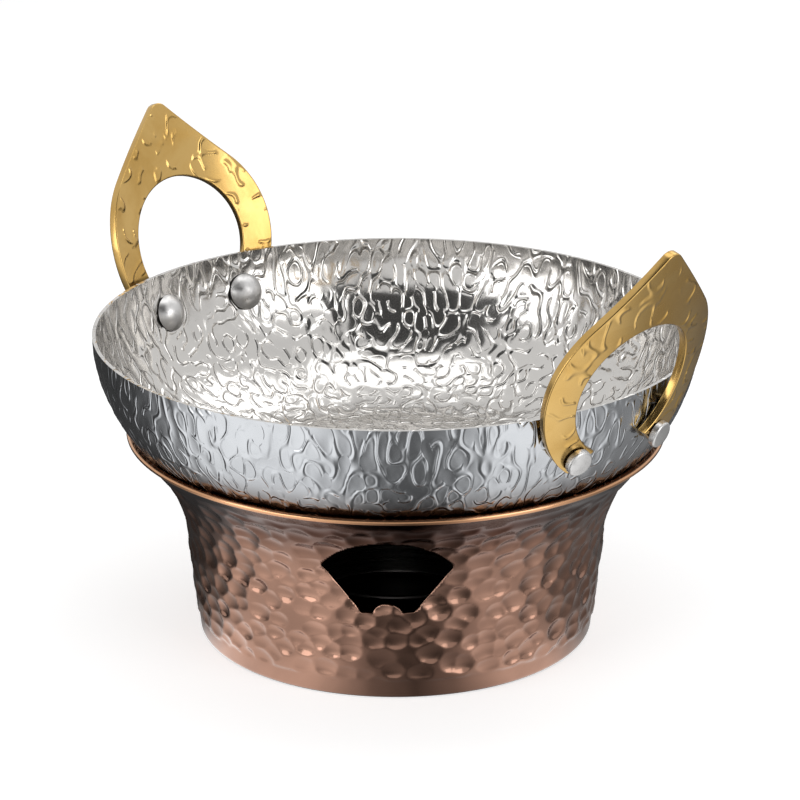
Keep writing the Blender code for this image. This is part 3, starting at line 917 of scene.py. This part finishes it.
class HandleShape:
    """Places on the bent plate of a handle."""

    def __init__(self, settings):
        self.size = settings.handle
        self.pan = PanShape(settings.pan)
        self.rivet_angle = settings.rivet.angle
        self.spot = self.rivet_spot()

    def outline(self, turn):
        """Distance from the ring's centre to the outer edge, at this angle from the tip."""
        size = self.size
        shoulder = (math.pi - size.apex) / 2
        tip_centre = (size.outer_radius - size.tip_radius) / math.cos(shoulder)
        tip_end = size.tip_radius * Vector((math.sin(shoulder), math.cos(shoulder)))
        turn = abs(turn)
        if turn < math.atan2(tip_end.x, tip_centre + tip_end.y):
            across = tip_centre * math.sin(turn)
            return tip_centre * math.cos(turn) + math.sqrt(size.tip_radius**2 - across**2)
        if turn < shoulder:
            return size.outer_radius / math.cos(turn - shoulder)
        return size.outer_radius

    def rivet_spot(self):
        size = self.size
        down = math.pi - self.rivet_angle
        inner = size.hole_drop * math.cos(down) + math.sqrt(
            size.hole_radius**2 - (size.hole_drop * math.sin(down)) ** 2
        )
        middle = (inner + size.outer_radius) / 2
        return Vector((middle * math.sin(down), -middle * math.cos(down)))

    def place(self, azimuth, point, depth):
        """World position on the plate, its outward direction there, and its upward one."""
        size = self.size
        pan = self.pan
        radial = Vector((math.cos(azimuth), math.sin(azimuth), 0))
        across = Vector((-math.sin(azimuth), math.cos(azimuth), 0))
        up = Vector((0, 0, math.cos(size.lean))) + radial * math.sin(size.lean)
        out = across.cross(up)
        seat = radial * (pan.arc_radius + pan.wall_arc * math.cos(size.lean))
        seat.z = pan.arc_height - pan.wall_arc * math.sin(size.lean)
        centre = seat + out * size.seat_gap - up * self.spot.y
        turn = point.x / size.bend
        normal = across * math.sin(turn) + out * math.cos(turn)
        return centre + up * point.y - out * size.bend + normal * (size.bend + depth), normal, up

    def rivet_frame(self, azimuth, side):
        spot = Vector((side * self.spot.x, self.spot.y))
        place, normal, up = self.place(azimuth, spot, 0.0)
        across = up.cross(normal)
        return Matrix.Translation(place) @ Matrix((across, up, normal)).transposed().to_4x4()

    def wall_gap(self):
        """Gap between the pan's wall and the plate at a rivet."""
        wall_bend = self.pan.wall_arc + self.pan.arc_radius / math.cos(self.size.lean)
        return self.size.seat_gap + self.spot.x**2 / 2 * (1 / wall_bend - 1 / self.size.bend)


def handles(settings):
    return (("right", settings.handle.right_azimuth), ("left", settings.handle.left_azimuth))


def rivet_cutters(settings, target, only=None):
    """Pins that cut the rivet holes, as (handle, cutter) pairs."""
    shape = HandleShape(settings)
    radius = settings.rivet.shank_radius + settings.rivet.hole_gap
    made = []
    for name, azimuth in handles(settings):
        if only and name != only:
            continue
        for side in (-1, 1):
            bm = bmesh.new()
            ends = {"radius1": radius, "radius2": radius}
            bmesh.ops.create_cone(bm, cap_ends=True, segments=32, depth=PIN_LENGTH, **ends)
            bm.transform(shape.rivet_frame(azimuth, side))
            made.append((name, add_object(f"{target}_hole_{name}_{side + 1}", bm)))
    return made


def brass_finish(size, name):
    finish = Finish(f"{name} handle brass", size.brass, size.roughness)
    cloud = finish.noise(45, 4, 0.6, warp=0.5)
    deep = shaded(size.brass, 0.86, 0.8, 0.66)
    finish.set("Base Color", finish.stain(cloud, size.brass, deep))
    finish.wear(cloud, size.roughness, 0.7, 1.4)
    finish.set("Normal", finish.bump(finish.noise(700, 3, 0.6), 0.00001, 0.6))
    return finish.material


def handle_edges(shape, across, along):
    """A point of the flat plate, and how far it lies from the plate's nearest edge.

    Across is 0 at the finger hole and 1 outside; along is -1 and 1 at the feet.
    """
    size = shape.size
    outer = size.outer_reach * along
    inner = size.inner_reach * along
    outside = shape.outline(outer) * Vector((math.sin(outer), math.cos(outer)))
    hole = Vector((0, -size.hole_drop))
    inside = hole + size.hole_radius * Vector((math.sin(inner), math.cos(inner)))
    width = (outside - inside).length
    ends = (1 - abs(along)) * size.outer_radius * size.outer_reach
    return inside.lerp(outside, across), min(across * width, (1 - across) * width, ends)


def build_handle(settings, name, azimuth):
    size = settings.handle
    shape = HandleShape(settings)
    pattern = Ripples(size.mark_spacing, 1.0, HANDLE_SEEDS[name])
    breaks = Ripples(size.mark_spacing * BREAK_SPACING, 1.0, BREAK_SEED)
    bm = bmesh.new()
    bmesh.ops.create_grid(bm, x_segments=size.steps_along, y_segments=size.steps_across, size=1)
    front = bm.verts[:]
    copy = bmesh.ops.extrude_face_region(bm, geom=bm.faces[:], use_keep_orig=True)["geom"]
    back = [item for item in copy if isinstance(item, bmesh.types.BMVert)]
    for verts, face, outward in ((front, size.thickness, 1), (back, 0.0, -1)):
        flat = []
        drops = []
        fades = []
        for vert in verts:
            crowded = 1 - TIP_CROWDING + TIP_CROWDING * abs(vert.co.x)
            across = (1 - math.cos(math.pi * (vert.co.y + 1) / 2)) / 2
            point, edge = handle_edges(shape, across, vert.co.x * crowded)
            flat.append(point)
            fades.append(min(max(edge - size.edge_round, 0.0) / size.edge_round / 2, 1.0))
            inset = max(0.0, 1 - edge / size.edge_round)
            drops.append(size.edge_round * (1 - math.sqrt(1 - inset**2)))
        base = np.array([shape.place(azimuth, point, face)[0] for point in flat])
        lines = 1 - smooth(np.abs(pattern.heights(base)), 0, MARK_WIDTH)
        whole = smooth(breaks.heights(base), BREAK_LOW, BREAK_HIGH)
        marks = lines * whole * np.array(fades) - MARK_SINK
        for vert, point, drop, mark in zip(verts, flat, drops, marks):
            depth = face + outward * (mark * size.mark_height - drop)
            vert.co = shape.place(azimuth, point, depth)[0]
    handle = add_object(f"embossed_handle_{name}", bm, math.radians(50))
    cut(handle, [cutter for _, cutter in rivet_cutters(settings, "handle", name)])
    stand_for(handle, f"handle_{name}", brass_finish(size, name), "pan")


def rivet_section(settings):
    """Half outline: over the dome inside the pan, along the shank, round the outer head."""
    size = settings.rivet
    shape = HandleShape(settings)
    base = -shape.wall_gap() - settings.pan.sheet - size.dome_gap
    dome_arc = (size.dome_radius**2 + size.dome_height**2) / (2 * size.dome_height)
    half = math.asin(size.dome_radius / dome_arc)
    dome_centre = Vector((0, base - size.dome_height + dome_arc))
    dome = arc(dome_centre, dome_arc, -math.pi / 2, -math.pi / 2 + half, 24)
    seat = settings.handle.thickness + SEAT_GAP
    top = seat + size.disc_height
    low = Vector((size.disc_radius, seat))
    corner = Vector((size.disc_radius, top))
    crown = Vector((size.disc_radius * 0.5, top + DISC_CROWN * 0.75))
    section = dome + [Vector((size.shank_radius, base)), Vector((size.shank_radius, seat)), low]
    section += fillet(low, corner, crown, size.disc_round, 10)
    return section + [Vector((0, top + DISC_CROWN))]


def rivet_finish(size, name):
    finish = Finish(f"{name} rivet steel", size.steel, size.roughness)
    scuff = finish.noise(260, 4, 0.7)
    finish.wear(scuff, size.roughness, 0.7, 1.4)
    finish.set("Base Color", finish.stain(scuff, size.steel, dulled(size.steel, 0.88), low=0.4))
    finish.set("Normal", finish.bump(scuff, 0.00004, 0.6))
    return finish.material


def build_rivets(settings, name, azimuth):
    finish = rivet_finish(settings.rivet, name)
    shape = HandleShape(settings)
    for end, side in (("a", -1), ("b", 1)):
        bm = turned(rivet_section(settings), settings.rivet.steps)
        bm.transform(shape.rivet_frame(azimuth, side))
        rivet = add_object(f"domed_rivet_{name}_{end}", bm, math.radians(45))
        stand_for(rivet, f"rivet_{name}_{end}", finish, "pan")


# Stage

LIGHT_TARGET = (0, 0, 0.08)
LIGHTS = (  # name, place, width, height, level
    ("overhead", (0.0, 0.15, 1.3), 0.9, 0.6, 1.1),
    ("back", (0.7, 0.9, 1.3), 0.9, 0.7, 1.45),
    ("left_front", (-0.95, -0.75, 0.5), 0.9, 0.9, 2.0),
    ("right_front", (0.95, -0.80, 0.5), 0.8, 0.9, 1.85),
)
LIGHT_WATTS = 4  # per square metre, at level 1
CARD_AZIMUTHS = (-56, 34)  # sides of the dark card, in degrees from the window side
CARD_ELEVATIONS = (20, 70)
CARD_SHADE = 0.08
TABLE_RISE = (0.1, 0.24, 0.85, 1.15)  # from one radius to another, from one level to another
TABLE_FOOT = (0.083, 0.105, 0.3, 0.0)  # the same for the bright ring at the stove's foot
TABLE_LEVELS = (  # azimuth in degrees from the window side, brightness of the table there
    (-180, 0.04),
    (-122, 0.03),
    (-98, 0.05),
    (-80, 0.22),
    (-60, 0.95),
    (-28, 0.90),
    (-5, 0.24),
    (8, 0.09),
    (20, 0.26),
    (38, 0.90),
    (54, 0.78),
    (78, 0.26),
    (108, 0.18),
    (130, 0.05),
    (180, 0.04),
)


def stage_object(name, bm, shade):
    """An object of the stage with a matt finish that can glow, and that finish."""
    mesh = bpy.data.meshes.new(name)
    bm.to_mesh(mesh)
    bm.free()
    obj = bpy.data.objects.new(name, mesh)
    bpy.context.scene.collection.objects.link(obj)
    finish = Finish(name, shade, 0.9, 0.0)
    finish.set("Specular IOR Level", 0.0)
    finish.set("Emission Strength", 1.0)
    mesh.materials.append(finish.material)
    return obj, finish


def add_floor(size):
    bm = bmesh.new()
    bmesh.ops.create_circle(bm, cap_ends=True, segments=96, radius=size.floor_radius)
    _, finish = stage_object("studio_floor", bm, size.floor)
    seen = finish.node("ShaderNodeLightPath", output="Is Camera Ray")
    finish.set("Emission Color", finish.mix(seen, (0, 0, 0, 1), rgba(size.floor_glow)))


def add_world(size):
    """White to the camera and in reflections, dimmer where it lights matt surfaces."""
    world = bpy.data.worlds.new("studio")
    bpy.context.scene.world = world
    world.use_nodes = True
    tree = Tree(world.node_tree)
    seen = 0.0
    for name in ("Is Camera Ray", "Is Glossy Ray", "Is Transmission Ray"):
        seen = tree.node("ShaderNodeLightPath", output=name) + seen
    background = tree.nodes["Background"].inputs
    tree.put(background["Strength"], tree.ramp(seen, 0, 1, size.world_dim, 1.0, "LINEAR"))
    tree.put(background["Color"], (1, 1, 1, 1))


def add_card(name, bm):
    """A card that only reflections see, and its finish."""
    card, finish = stage_object(name, bm, (0, 0, 0))
    card.visible_camera = False
    card.visible_diffuse = False
    card.visible_shadow = False
    card.visible_transmission = False
    return finish


def toward(azimuth, elevation, distance):
    """The point in this direction, given in degrees, azimuth 0 being the window side."""
    turn, rise = math.radians(azimuth), math.radians(elevation)
    level = distance * math.cos(rise)
    across, back, up = level * math.sin(turn), -level * math.cos(turn), distance * math.sin(rise)
    return Vector((across, back, up)) + Vector(LIGHT_TARGET)


def add_dark_card(size):
    (left, right), (low, high) = CARD_AZIMUTHS, CARD_ELEVATIONS
    bm = bmesh.new()
    corners = ((left, low), (right, low), (right, high), (left, high))
    bm.faces.new([bm.verts.new(toward(*corner, size.card_distance)) for corner in corners])
    add_card("card_camera", bm).set("Emission Color", rgba((CARD_SHADE,) * 3))


def add_lit_table(size):
    """The table as reflections see it: bright at both sides of the camera, dark behind."""
    bm = bmesh.new()
    bmesh.ops.create_circle(bm, cap_ends=True, segments=64, radius=size.table_radius)
    bmesh.ops.translate(bm, verts=bm.verts, vec=(0, 0, size.table_height))
    finish = add_card("lit_table", bm)
    turn = finish.axis("X").math("ARCTAN2", finish.axis("Y") * -1.0)
    around = finish.ramp(turn, -math.pi, math.pi, kind="LINEAR")
    stops = [((azimuth + 180) / 360, rgba((level,) * 3)) for azimuth, level in TABLE_LEVELS]
    level = finish.node("ShaderNodeValToRGB", {"stops": stops}, {"Fac": around})
    radius = finish.radius()
    near = finish.ramp(radius, *TABLE_RISE) + finish.ramp(radius, *TABLE_FOOT)
    shade = finish.node("ShaderNodeVectorMath", {"operation": "SCALE"}, {0: level, "Scale": near})
    finish.set("Emission Color", shade)
    finish.set("Emission Strength", size.table_light)


def add_light(name, place, width, height, level):
    lamp = bpy.data.lights.new(name, "AREA")
    lamp.shape = "RECTANGLE"
    lamp.size = width
    lamp.size_y = height
    lamp.energy = level * width * height * LIGHT_WATTS
    obj = bpy.data.objects.new(name, lamp)
    obj.location = place
    obj.rotation_euler = (Vector(LIGHT_TARGET) - Vector(place)).to_track_quat("-Z", "Y").to_euler()
    bpy.context.scene.collection.objects.link(obj)


def add_camera(size):
    camera = bpy.data.cameras.new("camera")
    camera.lens = size.lens
    camera.sensor_width = 36.0
    camera.clip_start = 0.01
    obj = bpy.data.objects.new("camera", camera)
    azimuth, elevation = size.camera_azimuth, size.camera_elevation
    level = Vector((math.sin(azimuth), -math.cos(azimuth), 0))
    back = level * math.cos(elevation) + Vector((0, 0, math.sin(elevation)))
    side = Vector((math.cos(azimuth), math.sin(azimuth), 0)) * size.target_side
    target = side + Vector((0, 0, size.target_height))
    obj.location = target + back * size.camera_distance
    obj.rotation_euler = back.to_track_quat("Z", "Y").to_euler()
    bpy.context.scene.collection.objects.link(obj)
    bpy.context.scene.camera = obj


def build_stage(settings):
    size = settings.stage
    add_floor(size)
    add_world(size)
    add_lit_table(size)
    add_dark_card(size)
    for light in LIGHTS:
        add_light(*light)
    add_camera(size)
    bpy.context.scene.view_settings.view_transform = "Standard"


# Operators and the panel


class TABLESTOVE_OT_pan(bpy.types.Operator):
    """Build the embossed pan"""

    bl_idname = "tablestove.pan"
    bl_label = "Pan"

    def execute(self, context):
        build_pan(context.scene.table_stove)
        return {"FINISHED"}


class TABLESTOVE_OT_shell(bpy.types.Operator):
    """Build the hammered shell with its window"""

    bl_idname = "tablestove.shell"
    bl_label = "Stove shell"

    def execute(self, context):
        build_shell(context.scene.table_stove)
        return {"FINISHED"}


class TABLESTOVE_OT_burner(bpy.types.Operator):
    """Build the base plate and the fuel cup"""

    bl_idname = "tablestove.burner"
    bl_label = "Base plate and fuel cup"

    def execute(self, context):
        build_base_plate(context.scene.table_stove)
        build_cup(context.scene.table_stove)
        return {"FINISHED"}


class TABLESTOVE_OT_handles(bpy.types.Operator):
    """Build both handles with their embossed marks"""

    bl_idname = "tablestove.handles"
    bl_label = "Handles"

    def execute(self, context):
        settings = context.scene.table_stove
        for name, azimuth in handles(settings):
            build_handle(settings, name, azimuth)
        return {"FINISHED"}


class TABLESTOVE_OT_rivets(bpy.types.Operator):
    """Build the four rivets"""

    bl_idname = "tablestove.rivets"
    bl_label = "Rivets"

    def execute(self, context):
        settings = context.scene.table_stove
        for name, azimuth in handles(settings):
            build_rivets(settings, name, azimuth)
        return {"FINISHED"}


class TABLESTOVE_OT_stage(bpy.types.Operator):
    """Set up the floor, the light and the camera"""

    bl_idname = "tablestove.stage"
    bl_label = "Stage"

    def execute(self, context):
        build_stage(context.scene.table_stove)
        return {"FINISHED"}


OPERATORS = (
    TABLESTOVE_OT_shell,
    TABLESTOVE_OT_burner,
    TABLESTOVE_OT_pan,
    TABLESTOVE_OT_handles,
    TABLESTOVE_OT_rivets,
    TABLESTOVE_OT_stage,
)


class TABLESTOVE_PT_panel(bpy.types.Panel):
    """Lists the pieces that can be built"""

    bl_idname = "TABLESTOVE_PT_panel"
    bl_label = "Table stove"
    bl_space_type = "VIEW_3D"
    bl_region_type = "UI"
    bl_category = "Table stove"

    def draw(self, context):
        for operator in OPERATORS:
            self.layout.operator(operator.bl_idname)


CLASSES = (
    PanSettings,
    StoveSettings,
    BurnerSettings,
    HandleSettings,
    RivetSettings,
    StageSettings,
    TableStoveSettings,
    *OPERATORS,
    TABLESTOVE_PT_panel,
)


def register():
    for item in CLASSES:
        bpy.utils.register_class(item)
    bpy.types.Scene.table_stove = PointerProperty(type=TableStoveSettings)


def unregister():
    del bpy.types.Scene.table_stove
    for item in reversed(CLASSES):
        bpy.utils.unregister_class(item)


def main():
    register()
    for operator in OPERATORS:
        group, name = operator.bl_idname.split(".")
        getattr(getattr(bpy.ops, group), name)()


if __name__ == "__main__":
    main()
